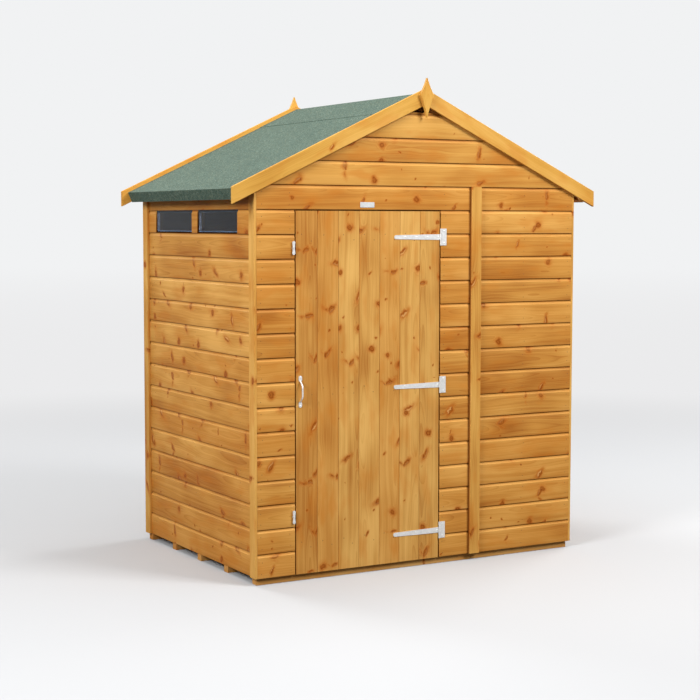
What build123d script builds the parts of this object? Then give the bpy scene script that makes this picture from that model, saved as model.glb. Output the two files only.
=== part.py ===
from build123d import *
import math
import os

# Garden security shed: a wide door panel beside a narrow panel, side panels set between the
# gable panels, a low apex roof and two high windows in the left side.
# Millimetres. X runs along the front to the right, Y from front to back, Z up from the ground.
# The origin is on the ground, at the middle of the whole shed.

# Overall sizes
shed_width = 1796.0          # over the corner trims
shed_depth = 1284.0          # front cladding face to back cladding face
roof_pitch = 25.0            # degrees
barge_side_overhang = 113.0  # trim face to the plumb ends of the barge boards
felt_side_overhang = 81.0    # trim face to the fold of the felt at the eaves

# Cladding
course = 112.0               # cover height of one board
wall_courses = 16            # boards up to the gable joint
sill_courses = 14            # boards up to the window sill
door_courses = 15            # boards up to the head of the doorway
board_thickness = 12.0
board_lip = 10.0             # the bare upper edge of the last gable board
gable_upstand = 9.0          # height of the gable's ends above its lower joint
panel_gap = 2.0              # left between two panels bolted side by side
panel_side = 205.0           # hinged edge of the door to the joint with the narrow panel

# Framing
frame_depth = 30.0
stud_width = 44.0

# Trims
trim_thickness = 13.0
corner_trim_width = 55.0
joint_strip_width = 58.0

# Floor
bearer_height = 33.0
bearer_width = 43.0
bearer_count = 5
bearer_side_inset = 15.0     # trim face to the ends of the bearers
floor_clearance = 5.0        # back of the cladding and of the door to the floor's edges
floor_thickness = 12.0

# Doorway and door
door_left = 212.0            # left trim face to the door
door_width = 780.0
door_gap = 6.0               # round the sides and top of the door
ledge_height = 70.0
ledge_thickness = 28.0
ledge_clearance = 16.0       # door stops to the ends of the ledges
brace_width = 70.0
stop_width = 12.0
stop_setback = 7.0           # back of the door boards to the stops

# T hinges: one near the foot of the door, one near its head and one half way between them
hinge_above_foot = 134.0
hinge_below_head = 122.0
hinge_arm_length = 259.0
hinge_arm_root = 28.0        # height of the arm beside its knuckle
hinge_arm_tip = 19.0
hinge_plate_height = 80.0
hinge_plate_width = 34.0     # from the pin to the far edge
hinge_metal = 2.0
knuckle_radius = 4.0
pin_radius = 2.0
pin_clearance = 0.1
knuckle_gap = 0.5
screw_radius = 4.0
screw_proud = 1.2

# Bow handle
handle_inset = 22.0          # free edge of the door to the handle
handle_middle = 848.0        # above the foot of the cladding
handle_length = 147.0
handle_ear = 24.0
handle_standoff = 28.0
handle_bar_radius = 4.0
handle_ear_width = 17.0

# Turn buttons beside the free edge of the door
button_inset = 14.0          # free edge of the door to the pivots
button_above_foot = 270.0
button_below_head = 169.0
button_length = 62.0
button_end_width = 15.0
button_waist = 11.0
button_thickness = 3.0
button_standoff = 5.0
button_play = 0.3
pivot_radius = 2.5
pivot_boss_radius = 6.0
pivot_head_radius = 4.5
pivot_head = 2.0

# Windows in the left side
window_front_margin = 154.0  # front end of the side panel to the nearer window
window_back_margin = 100.0   # back end of the side panel to the nearer window
window_post = 64.0           # between the windows
pane_thickness = 4.0
pane_setback = 5.0           # side cladding face to the pane
bead_width = 12.0
bead_thickness = 10.0
bead_gap = 1.0

# Roof
roof_board_thickness = 12.0
felt_thickness = 2.0
barge_proud = 21.0           # barge board above the felt, measured plumb
barge_depth = 77.0           # measured plumb
barge_thickness = 16.0
eaves_rail_thickness = 28.0
eaves_rail_height = 40.0     # measured square to the slope, as its outer face is
purlin_width = 28.0
purlin_height = 44.0
ridge_beam_width = 44.0
ridge_beam_height = 66.0
cap_width = 240.0            # ridge cap, down each slope

# Finials
finial_half_width = 38.0
finial_above = 50.0          # tip above the point of the barge boards
finial_shoulder = 32.0       # widest place below that point
finial_below = 138.0         # foot below that point
finial_thickness = 16.0
finial_hollow = 3.0          # how far its sides curve in

# Worked out from the sizes above
half_width = shed_width / 2
half_depth = shed_depth / 2
side_face = half_width - trim_thickness          # outer face of the side cladding
side_back = side_face - board_thickness          # its inner face
side_inner = side_back - frame_depth             # inner face of the side frames
end_back = half_depth - board_thickness
end_inner = end_back - frame_depth
foot = bearer_height                             # foot of the cladding
floor_top = bearer_height + floor_thickness
wall_top = foot + wall_courses * course
sill = foot + sill_courses * course
door_head = foot + door_courses * course
floor_inset = board_thickness + floor_clearance  # cladding face to the floor's edges
door_height = door_head - foot - door_gap
opening_left = door_left - half_width - door_gap
opening_right = door_left + door_width - half_width + door_gap
joint_x = door_left + door_width + panel_side - half_width
ledge_inset = stop_width - door_gap + ledge_clearance
hinge_top = door_height - hinge_below_head
hinge_heights = (hinge_above_foot, (hinge_above_foot + hinge_top) / 2, hinge_top)
button_heights = (button_above_foot, door_height - button_below_head)
window_width = end_inner - (window_front_margin + window_back_margin + window_post) / 2
rise = math.tan(math.radians(roof_pitch))
lean = math.cos(math.radians(roof_pitch))
roof_build = barge_proud + (felt_thickness + roof_board_thickness) / lean
apex = wall_top + gable_upstand + side_face * rise + roof_build
barge_x = half_width + barge_side_overhang
fold_x = half_width + felt_side_overhang
fold_z = apex - fold_x * rise - barge_proud
eaves_drop = felt_thickness + roof_board_thickness + eaves_rail_height  # how far the felt turns down
pin_x = opening_right - door_gap / 2
pin_y = -half_depth - knuckle_radius


def barge_line(x):
    """Height of the top edge of the barge boards."""
    return apex - abs(x) * rise


def underside(x):
    """Height of the underside of the roof boards."""
    return barge_line(x) - roof_build


def block(x0, x1, y0, y1, z0, z1):
    """A squared timber, panel or sheet between two corners."""
    return Pos((x0 + x1) / 2, (y0 + y1) / 2, (z0 + z1) / 2) * Box(x1 - x0, y1 - y0, z1 - z0)


def facing_front(x, y, z):
    """A drawing plane that faces the front, with X to the right and Z up."""
    return Plane(origin=(x, y, z), x_dir=(1, 0, 0), z_dir=(0, -1, 0))


def along_y(points, y0, y1):
    """A section drawn in X and Z, run from y0 to y1."""
    face = facing_front(0, y1, 0) * make_face(Polyline(*points, close=True))
    return extrude(face, amount=y1 - y0)


def mirrored(shape, plane):
    return mirror(shape, about=plane)


def floor_spans():
    """X ranges of the wide and the narrow floor section."""
    left = -half_width + bearer_side_inset
    return ((left, joint_x - panel_gap / 2), (joint_x + panel_gap / 2, -left))


def floor_bearers():
    first = -half_depth + floor_inset
    pitch = (shed_depth - 2 * floor_inset - bearer_width) / (bearer_count - 1)
    timbers = []
    for x0, x1 in floor_spans():
        for i in range(bearer_count):
            y0 = first + i * pitch
            timbers.append(block(x0, x1, y0, y0 + bearer_width, 0, bearer_height))
    return timbers


def floor_boards():
    edge = side_back
    spans = ((-edge, joint_x - panel_gap / 2), (joint_x + panel_gap / 2, edge))
    y_edge = half_depth - floor_inset
    return [block(x0, x1, -y_edge, y_edge, bearer_height, floor_top) for x0, x1 in spans]


def front_sheet(x0, x1, z0, z1):
    return block(x0, x1, -half_depth, -end_back, z0, z1)


def front_cladding_left():
    return [front_sheet(-side_face, opening_left, foot, door_head)]


def front_cladding_right():
    return [front_sheet(opening_right, joint_x - panel_gap / 2, foot, door_head)]


def front_cladding_over_door():
    """The door panel's top board, in one length."""
    return [front_sheet(-side_face, joint_x - panel_gap / 2, door_head, wall_top)]


def front_cladding_narrow():
    return [front_sheet(joint_x + panel_gap / 2, side_face, foot, wall_top)]


def back_cladding():
    spans = ((-side_face, joint_x - panel_gap / 2), (joint_x + panel_gap / 2, side_face))
    return [block(x0, x1, end_back, half_depth, foot, wall_top) for x0, x1 in spans]


def gable_outline():
    """The gable boards stop a little below the point, under the barge boards."""
    room = underside(0) - wall_top - board_lip
    top = wall_top + math.floor(room / course) * course + board_lip
    top_x = (underside(0) - top) / rise
    return [
        (-side_face, wall_top), (side_face, wall_top), (side_face, underside(side_face)),
        (top_x, top), (-top_x, top), (-side_face, underside(side_face)),
    ]


def front_gable_cladding():
    return [along_y(gable_outline(), -half_depth, -end_back)]


def back_gable_cladding():
    return [along_y(gable_outline(), end_back, half_depth)]


def gable_frame():
    """Two sloping rails on a tie, standing on the wall frame behind the gable boards."""
    slope_rail = stud_width / lean
    inner_top = underside(0) - slope_rail
    inner_base = wall_top + stud_width
    inner_x = (inner_top - inner_base) / rise
    outer = [(-side_face, wall_top), (side_face, wall_top), (side_face, underside(side_face)),
             (0, underside(0)), (-side_face, underside(side_face))]
    inner = [(-inner_x, inner_base), (inner_x, inner_base), (0, inner_top)]
    frame = along_y(outer, -end_back, -end_inner) - along_y(inner, -end_back, -end_inner)
    return frame


def gable_frames():
    front = gable_frame()
    return [front, mirrored(front, Plane.XZ)]


def end_stud(x0, x1, side):
    """A stud of the front (side -1) or back (side 1) wall, between its rails."""
    y0, y1 = sorted((side * end_back, side * end_inner))
    return block(x0, x1, y0, y1, floor_top + stud_width, wall_top - stud_width)


def end_rail(x0, x1, side, z0):
    y0, y1 = sorted((side * end_back, side * end_inner))
    return block(x0, x1, y0, y1, z0, z0 + stud_width)


def narrow_middle():
    """Middle of the narrow panels."""
    return (joint_x + side_face) / 2


def front_studs():
    starts = (
        -side_face, opening_left - stud_width, opening_right,
        joint_x - panel_gap / 2 - stud_width, joint_x + panel_gap / 2,
        narrow_middle() - stud_width / 2, side_face - stud_width,
    )
    return [end_stud(x, x + stud_width, -1) for x in starts]


def front_rails():
    top = wall_top - stud_width
    near = joint_x - panel_gap / 2
    far = joint_x + panel_gap / 2
    return [
        end_rail(-side_face, opening_left, -1, floor_top),
        end_rail(opening_right, near, -1, floor_top),
        end_rail(far, side_face, -1, floor_top),
        end_rail(-side_face, near, -1, top),
        end_rail(far, side_face, -1, top),
        end_rail(opening_left, opening_right, -1, door_head),
    ]


def back_studs():
    near = joint_x - panel_gap / 2
    middle = (near - side_face) / 2
    starts = (
        -side_face, middle - stud_width / 2, near - stud_width,
        joint_x + panel_gap / 2, narrow_middle() - stud_width / 2, side_face - stud_width,
    )
    return [end_stud(x, x + stud_width, 1) for x in starts]


def back_rails():
    rails = []
    for x0, x1 in ((-side_face, joint_x - panel_gap / 2), (joint_x + panel_gap / 2, side_face)):
        rails.append(end_rail(x0, x1, 1, floor_top))
        rails.append(end_rail(x0, x1, 1, wall_top - stud_width))
    return rails


def door_stops():
    """Strips inside the doorway that the closed door comes up to."""
    y0 = -end_back + stop_setback
    top = door_head - stop_width
    side_top = top - bead_gap
    return [
        block(opening_left, opening_left + stop_width, y0, -end_inner, floor_top, side_top),
        block(opening_right - stop_width, opening_right, y0, -end_inner, floor_top, side_top),
        block(opening_left, opening_right, y0, -end_inner, top, door_head),
    ]


def joint_strips():
    x0 = joint_x - joint_strip_width / 2
    x1 = joint_x + joint_strip_width / 2
    front = block(x0, x1, -half_depth - trim_thickness, -half_depth, foot, wall_top)
    return [front, mirrored(front, Plane.XZ)]


def corner_trims():
    top = underside(half_width) - panel_gap
    trim = block(-half_width, -side_face, -half_depth, -half_depth + corner_trim_width, foot, top)
    back = mirrored(trim, Plane.XZ)
    return [trim, back, mirrored(trim, Plane.YZ), mirrored(back, Plane.YZ)]


def side_strip(x_outer, x_inner, z0):
    """Left side member whose top is bevelled to the underside of the roof, at full length."""
    points = [(-x_outer, z0), (-x_inner, z0), (-x_inner, underside(x_inner)), (-x_outer, underside(x_outer))]
    return along_y(points, -end_inner, end_inner)


def left_sheet(y0, y1, z0, z1):
    return block(-side_face, -side_back, y0, y1, z0, z1)


def left_cladding():
    return [left_sheet(-end_inner, end_inner, foot, sill)]


def window_spans():
    """Y ranges of the front and the back window."""
    front = -end_inner + window_front_margin
    back = end_inner - window_back_margin
    return (front, front + window_width), (back - window_width, back)


def left_window_posts():
    front, back = window_spans()
    edges = ((-end_inner, front[0]), (front[1], back[0]), (back[1], end_inner))
    return [left_sheet(y0, y1, sill, sill + course) for y0, y1 in edges]


def left_head_cladding():
    return [side_strip(side_face, side_back, sill + course)]


def right_cladding():
    return [mirrored(side_strip(side_face, side_back, foot), Plane.YZ)]


def side_rail_top():
    """Foot of the bevelled rail on top of a side frame."""
    return underside(side_back) - stud_width


def left_studs():
    front, back = window_spans()
    spans = (
        (-end_inner, -end_inner + stud_width), (front[0] - stud_width, front[0]), (front[1], back[0]),
        (back[1], back[1] + stud_width), (end_inner - stud_width, end_inner),
    )
    low = floor_top + stud_width
    return [block(-side_back, -side_inner, y0, y1, low, side_rail_top()) for y0, y1 in spans]


def left_rails():
    rails = [
        block(-side_back, -side_inner, -end_inner, end_inner, floor_top, floor_top + stud_width),
        side_strip(side_back, side_inner, side_rail_top()),
    ]
    for y0, y1 in window_spans():
        rails.append(block(-side_back, -side_inner, y0, y1, sill - stud_width, sill))
        rails.append(block(-side_back, -side_inner, y0, y1, sill + course, sill + course + stud_width))
    return rails


def window_panes():
    x0 = -side_face + pane_setback
    return [block(x0, x0 + pane_thickness, y0, y1, sill, sill + course) for y0, y1 in window_spans()]


def window_beads():
    """Four glazing beads inside each pane."""
    x0 = -side_face + pane_setback + pane_thickness
    x1 = x0 + bead_thickness
    low = sill + bead_width + bead_gap
    high = sill + course - bead_width - bead_gap
    beads = []
    for y0, y1 in window_spans():
        beads.append(block(x0, x1, y0, y1, sill, sill + bead_width))
        beads.append(block(x0, x1, y0, y1, sill + course - bead_width, sill + course))
        beads.append(block(x0, x1, y0, y0 + bead_width, low, high))
        beads.append(block(x0, x1, y1 - bead_width, y1, low, high))
    return beads


def right_studs():
    low = floor_top + stud_width
    starts = (-end_inner, -stud_width / 2, end_inner - stud_width)
    return [block(side_inner, side_back, y, y + stud_width, low, side_rail_top()) for y in starts]


def right_rails():
    base = block(side_inner, side_back, -end_inner, end_inner, floor_top, floor_top + stud_width)
    return [base, mirrored(side_strip(side_back, side_inner, side_rail_top()), Plane.YZ)]


def slope_point(up, inward):
    """A point of the left slope: up it from the fold of the felt, and inward square to it."""
    x = -fold_x + (up + inward * rise) * lean
    z = fold_z + (up * rise - inward) * lean
    return x, z


def roof_boards_left():
    """The slope's boards, whose lower edge is square to them."""
    top = felt_thickness
    base = felt_thickness + roof_board_thickness
    points = [
        slope_point(top, top), (0, apex - barge_proud - top / lean),
        (0, apex - roof_build), slope_point(top, base),
    ]
    return [along_y(points, -half_depth, half_depth)]


def roof_boards_right():
    return [mirrored(roof_boards_left()[0], Plane.YZ)]


def roof_felt_left():
    """Felt over the slope, turned down over the square edge of the eaves."""
    thick = felt_thickness
    points = [
        slope_point(0, 0), (0, apex - barge_proud), (0, apex - barge_proud - thick / lean),
        slope_point(thick, thick), slope_point(thick, eaves_drop), slope_point(0, eaves_drop),
    ]
    return [along_y(points, -half_depth, half_depth)]


def roof_felt_right():
    return [mirrored(roof_felt_left()[0], Plane.YZ)]


def felt_ridge_cap():
    """A strip of felt bent over the ridge."""
    plumb = felt_thickness / lean
    x = cap_width * lean
    low = barge_line(x) - barge_proud
    points = [
        (-x, low), (0, apex - barge_proud), (x, low),
        (x, low + plumb), (0, apex - barge_proud + plumb), (-x, low + plumb),
    ]
    return [along_y(points, -half_depth, half_depth)]


def left_eaves_rail():
    """A rail square to the slope, under the lower edge of its boards."""
    outer = felt_thickness
    inner = felt_thickness + eaves_rail_thickness
    top = felt_thickness + roof_board_thickness
    corners = ((outer, top), (inner, top), (inner, eaves_drop), (outer, eaves_drop))
    return along_y([slope_point(up, inward) for up, inward in corners], -half_depth, half_depth)


def left_purlin():
    """An upright purlin half way up the slope, between the gable frames."""
    outer = fold_x / 2 + purlin_width / 2
    inner = outer - purlin_width
    low = underside(outer) - purlin_height
    points = [(-outer, low), (-inner, low), (-inner, underside(inner)), (-outer, underside(outer))]
    return along_y(points, -end_inner, end_inner)


def roof_rails():
    left = [left_eaves_rail(), left_purlin()]
    return left + [mirrored(rail, Plane.YZ) for rail in left]


def ridge_beam():
    x = ridge_beam_width / 2
    low = underside(0) - ridge_beam_height
    points = [(-x, low), (x, low), (x, underside(x)), (0, underside(0)), (-x, underside(x))]
    return [along_y(points, -end_inner, end_inner)]


def barge_boards_left():
    """Front and back barge boards of the left slope, cut plumb at both ends."""
    points = [
        (-barge_x, barge_line(barge_x)), (0, apex), (0, apex - barge_depth),
        (-barge_x, barge_line(barge_x) - barge_depth),
    ]
    front = along_y(points, -half_depth - barge_thickness, -half_depth)
    return [front, mirrored(front, Plane.XZ)]


def barge_boards_right():
    return [mirrored(board, Plane.YZ) for board in barge_boards_left()]


def finials():
    """Flat pointed finials with hollow sides, over the meeting of the barge boards."""
    tip = (0, apex + finial_above)
    shoulder = (finial_half_width, apex - finial_shoulder)
    base = (0, apex - finial_below)

    def hollow_side(start, end):
        """A curve between two points that sags towards the middle of the finial."""
        middle = ((start[0] + end[0]) / 2 - finial_hollow, (start[1] + end[1]) / 2)
        return ThreePointArc(start, middle, end)

    right = [hollow_side(tip, shoulder), hollow_side(shoulder, base)]
    left = [mirror(edge, about=Plane.YZ) for edge in right]
    face = facing_front(0, -half_depth - barge_thickness, 0) * make_face(right + left)
    front = extrude(face, amount=finial_thickness)
    return [front, mirrored(front, Plane.XZ)]


def door_x():
    return door_left - half_width, door_left + door_width - half_width


def door_boards():
    x0, x1 = door_x()
    return [block(x0, x1, -half_depth, -end_back, foot, door_head - door_gap)]


def door_ledges():
    x0, x1 = door_x()
    ledges = []
    for height in hinge_heights:
        z0 = foot + height - ledge_height / 2
        ledges.append(block(x0 + ledge_inset, x1 - ledge_inset, -end_back, -end_back + ledge_thickness,
                            z0, z0 + ledge_height))
    return ledges


def door_braces():
    """Sloping braces that rise from the hinged edge to the free edge, between the ledges."""
    x0, x1 = door_x()
    low_x = x1 - ledge_inset
    high_x = x0 + ledge_inset
    braces = []
    for low, high in zip(hinge_heights, hinge_heights[1:]):
        z0 = foot + low + ledge_height / 2
        z1 = foot + high - ledge_height / 2
        run = math.hypot(low_x - high_x - brace_width, z1 - z0)
        reach = brace_width * run / (z1 - z0)
        points = [(low_x, z0), (low_x - reach, z0), (high_x, z1), (high_x + reach, z1)]
        braces.append(along_y(points, -end_back, -end_back + ledge_thickness))
    return braces


def upright(radius, z0, z1):
    """A round bar on the line of the hinge pins."""
    return Pos(pin_x, pin_y, (z0 + z1) / 2) * Cylinder(radius, z1 - z0)


def screw_heads(places):
    """Domed screw heads on a face at y, for each (x, y, z)."""
    heads = []
    ball = (screw_radius ** 2 + screw_proud ** 2) / (2 * screw_proud)
    for x, y, z in places:
        dome = Pos(x, y - screw_proud + ball, z) * Sphere(ball)
        cut = block(x - ball, x + ball, y - screw_proud, y, z - ball, z + ball)
        heads.append(dome & cut)
    return heads


def hinge_arm(height):
    """Tapered arm with a rounded tip, rolled round the pin between the plate's knuckles."""
    z = foot + height
    root = hinge_arm_root / 2 - knuckle_gap
    tip = hinge_arm_tip / 2
    tip_x = pin_x - hinge_arm_length + tip
    outline = [
        Line((pin_x, z + root), (tip_x, z + tip)),
        ThreePointArc((tip_x, z + tip), (tip_x - tip, z), (tip_x, z - tip)),
        Line((tip_x, z - tip), (pin_x, z - root)),
        Line((pin_x, z - root), (pin_x, z + root)),
    ]
    face = facing_front(0, -half_depth, 0) * make_face(outline)
    strap = extrude(face, amount=hinge_metal)
    arm = strap + upright(knuckle_radius, z - root, z + root)
    arm -= upright(pin_radius + pin_clearance, z - hinge_plate_height, z + hinge_plate_height)
    spacing = (hinge_arm_length - 3 * screw_radius) / 4
    places = [(pin_x - 3 * screw_radius - i * spacing, -half_depth - hinge_metal, z) for i in range(4)]
    for head in screw_heads(places):
        arm += head
    return arm


def hinge_arms():
    return [hinge_arm(height) for height in hinge_heights]


def hinge_plate(height):
    """Plate on the wall with an upper and a lower knuckle, and the pin that runs through them."""
    z = foot + height
    half = hinge_plate_height / 2
    middle = hinge_arm_root / 2 + knuckle_gap
    far_x = pin_x + hinge_plate_width
    plate = block(pin_x, far_x, -half_depth - hinge_metal, -half_depth, z - half, z + half)
    plate -= block(pin_x - 2 * knuckle_radius, pin_x + knuckle_radius + knuckle_gap,
                   pin_y - 2 * knuckle_radius, -half_depth, z - middle, z + middle)
    for side in (-1, 1):
        z0, z1 = sorted((z + side * middle, z + side * half))
        plate += upright(knuckle_radius, z0, z1)
    plate += upright(pin_radius, z - half, z + half)
    x = pin_x + hinge_plate_width * 0.6
    places = [(x, -half_depth - hinge_metal, z + side * (half - 3 * screw_radius)) for side in (-1, 1)]
    for head in screw_heads(places):
        plate += head
    return plate


def hinge_plates():
    return [hinge_plate(height) for height in hinge_heights]


def door_handle():
    """Bow handle: a bent round bar on two flat ears."""
    x = door_x()[0] + handle_inset
    z = foot + handle_middle
    y = -half_depth
    half = handle_length / 2
    foot_z = half - handle_ear
    out = handle_standoff - handle_bar_radius
    path = FilletPolyline(
        (x, y, z - foot_z), (x, y - out, z - foot_z + out), (x, y - out, z + foot_z - out), (x, y, z + foot_z),
        radius=out,
    )
    bar = sweep(Plane(origin=path @ 0, z_dir=path % 0) * Circle(handle_bar_radius), path=path)
    bar -= block(x - half, x + half, y, y + half, z - half, z + half)
    ears = []
    for side in (-1, 1):
        middle = z + side * (half - handle_ear / 2)
        plate = SlotOverall(handle_ear + handle_bar_radius, handle_ear_width, rotation=90)
        face = facing_front(x, y, middle - side * handle_bar_radius / 2) * plate
        ears.append(extrude(face, amount=hinge_metal))
        ears += screw_heads([(x, y - hinge_metal, z + side * (half - 2 * screw_radius))])
    handle = bar
    for piece in ears:
        handle += piece
    return [handle]


def button_x():
    return door_x()[0] - button_inset


def turn_button(height):
    """A waisted button that turns on its pivot to hold the door shut."""
    x = button_x()
    z = foot + height
    end = button_end_width / 2
    centre = button_length / 2 - end
    outline = [
        ThreePointArc((-end, centre), (0, centre + end), (end, centre)),
        ThreePointArc((end, centre), (button_waist / 2, 0), (end, -centre)),
        ThreePointArc((end, -centre), (0, -centre - end), (-end, -centre)),
        ThreePointArc((-end, -centre), (-button_waist / 2, 0), (-end, centre)),
    ]
    y = -half_depth - button_standoff - button_play
    face = facing_front(x, y, z) * make_face(outline)
    button = extrude(face, amount=button_thickness)
    hole = Pos(x, y, z) * Rot(90, 0, 0) * Cylinder(pivot_radius + pin_clearance, 4 * button_thickness)
    return button - hole


def lower_turn_button():
    return [turn_button(button_heights[0])]


def upper_turn_button():
    return [turn_button(button_heights[1])]


def button_pivot(height):
    """A spacer on the wall, the screw through the button and its head."""
    x = button_x()
    z = foot + height
    outer = button_standoff + 2 * button_play + button_thickness

    def round_bar(radius, near, far):
        middle = -half_depth - (near + far) / 2
        return Pos(x, middle, z) * Rot(90, 0, 0) * Cylinder(radius, far - near)

    spacer = round_bar(pivot_boss_radius, 0, button_standoff)
    return spacer + round_bar(pivot_radius, 0, outer) + round_bar(pivot_head_radius, outer, outer + pivot_head)


def button_pivots():
    return [button_pivot(height) for height in button_heights]


SUB_PARTS = (
    floor_bearers, floor_boards,
    front_cladding_left, front_cladding_right, front_cladding_over_door, front_cladding_narrow,
    front_gable_cladding, front_studs, front_rails, door_stops,
    back_cladding, back_gable_cladding, back_studs, back_rails, gable_frames,
    left_cladding, left_window_posts, left_head_cladding, left_studs, left_rails,
    window_panes, window_beads,
    right_cladding, right_studs, right_rails,
    corner_trims, joint_strips,
    roof_boards_left, roof_boards_right, roof_felt_left, roof_felt_right, felt_ridge_cap,
    roof_rails, ridge_beam, barge_boards_left, barge_boards_right, finials,
    door_boards, door_ledges, door_braces, door_handle, hinge_arms,
    hinge_plates, upper_turn_button, lower_turn_button, button_pivots,
)

os.makedirs("parts", exist_ok=True)
for make in SUB_PARTS:
    solids = make()
    shape = solids[0] if len(solids) == 1 else Compound(children=solids)
    export_step(shape, f"parts/{make.__name__}.step")
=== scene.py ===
import math
import random

import bmesh
import bpy
from mathutils import Matrix, Vector


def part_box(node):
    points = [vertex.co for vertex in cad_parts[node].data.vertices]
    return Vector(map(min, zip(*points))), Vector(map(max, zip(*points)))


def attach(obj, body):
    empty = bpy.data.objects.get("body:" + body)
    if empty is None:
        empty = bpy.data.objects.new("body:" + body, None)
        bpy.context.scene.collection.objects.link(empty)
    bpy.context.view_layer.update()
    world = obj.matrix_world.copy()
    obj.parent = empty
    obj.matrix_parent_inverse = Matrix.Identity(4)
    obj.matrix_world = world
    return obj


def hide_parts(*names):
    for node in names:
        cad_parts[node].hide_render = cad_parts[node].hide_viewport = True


# Looks of a garden security shed in dip-treated pine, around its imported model.
# Metres. X runs along the front to the right, Y from front to back, Z up from the ground.
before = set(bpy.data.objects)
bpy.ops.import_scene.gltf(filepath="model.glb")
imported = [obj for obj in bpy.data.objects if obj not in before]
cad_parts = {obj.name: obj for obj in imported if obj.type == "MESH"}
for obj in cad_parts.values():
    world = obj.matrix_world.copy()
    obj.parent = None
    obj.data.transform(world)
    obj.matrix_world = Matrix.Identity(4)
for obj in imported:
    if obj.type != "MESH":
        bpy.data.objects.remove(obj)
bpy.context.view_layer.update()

# Shiplap boards
COURSE = 0.112
BOARD = 0.012            # thickness
COVE = 0.016             # height of the hollow along the upper edge
COVE_DEPTH = 0.005
LAP = 0.0055             # tongue behind the board above
LAP_PLAY = 0.0004
LAST_LAP = 0.010         # bare tongue of the highest gable board
ARRIS = 0.0008           # worn corner of the lower edge

# Tongued boards of the door, the floor and the roof
DOOR_BOARDS = 7
FLAT_BOARD = 0.112       # nearest width, in the floor and the roof
JOINT_CHAMFER = 0.0014
JOINT_GAP = 0.0005
TONGUE = 0.003
TONGUE_PLAY = 0.0002

# Other timber
EASE = 0.0014            # worn edges of sawn timber
LEDGE_EASE = 0.003       # planed edges of the door's ledges and braces
STRIP_SHADOW_REACH = 0.014            # reach of the painted shadow beside a cover strip
PITH_SIDE = 0.05         # furthest that a timber was sawn to one side of the pith
PITH_DEPTH = (0.02, 0.07)
LOG_LENGTH = 40          # stretch of grain that the timbers are picked from
ROOF_PITCH = math.radians(25)

# Nail heads
NAIL = 0.0019            # radius in the cladding
DOOR_NAIL = NAIL * 1.15
NAIL_HEIGHT = 0.0004
NAIL_SUNK = 0.0001
COURSE_NAILS = (0.22, 0.7)       # up from the foot of a course, as shares of it
COURSE_SCATTER = 0.006
LEAST_COURSE = 0.05      # a lower rest of a course has no nails
DOOR_NAILS = ((0.28, 0.014), (0.72, -0.014))     # share of a board's width, and rise from a ledge's middle
DOOR_SCATTER_X = 0.004
DOOR_SCATTER_Z = 0.003

# Bare plate over the door
PLATE_WIDTH = 0.076
PLATE_HEIGHT = 0.025
PLATE_THICKNESS = 0.0016
PLATE_CORNER = 0.0015
PLATE_EDGE = 0.0005
PLATE_X = -0.3095        # its middle
PLATE_Z = 1.7355

# Mesh tolerances
CUT = 1e-7
WELD = 1e-5
SAME_HEIGHT = 1e-4
FLAT_WITHIN = math.radians(1)
EASED_OVER = math.radians(20)
SHARP_OVER = math.radians(22)

# Camera, found from the photograph's perspective
CAMERA_PLACE = Vector((-4.060, -6.991, 1.651))
CAMERA_YAW = 29.954      # degrees from +Y towards +X
CAMERA_PITCH = 4.594     # degrees down
CAMERA_ROLL = 0.068
CAMERA_LENS = 81.24      # mm
CAMERA_SENSOR = 36.0     # mm


def srgb(red, green, blue):
    """A screen colour, 0 to 255, as the linear colour that the shaders use."""
    def linear(value):
        value /= 255
        return value / 12.92 if value <= 0.04045 else ((value + 0.055) / 1.055) ** 2.4
    return (linear(red), linear(green), linear(blue), 1.0)


# Timber meshes


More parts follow.
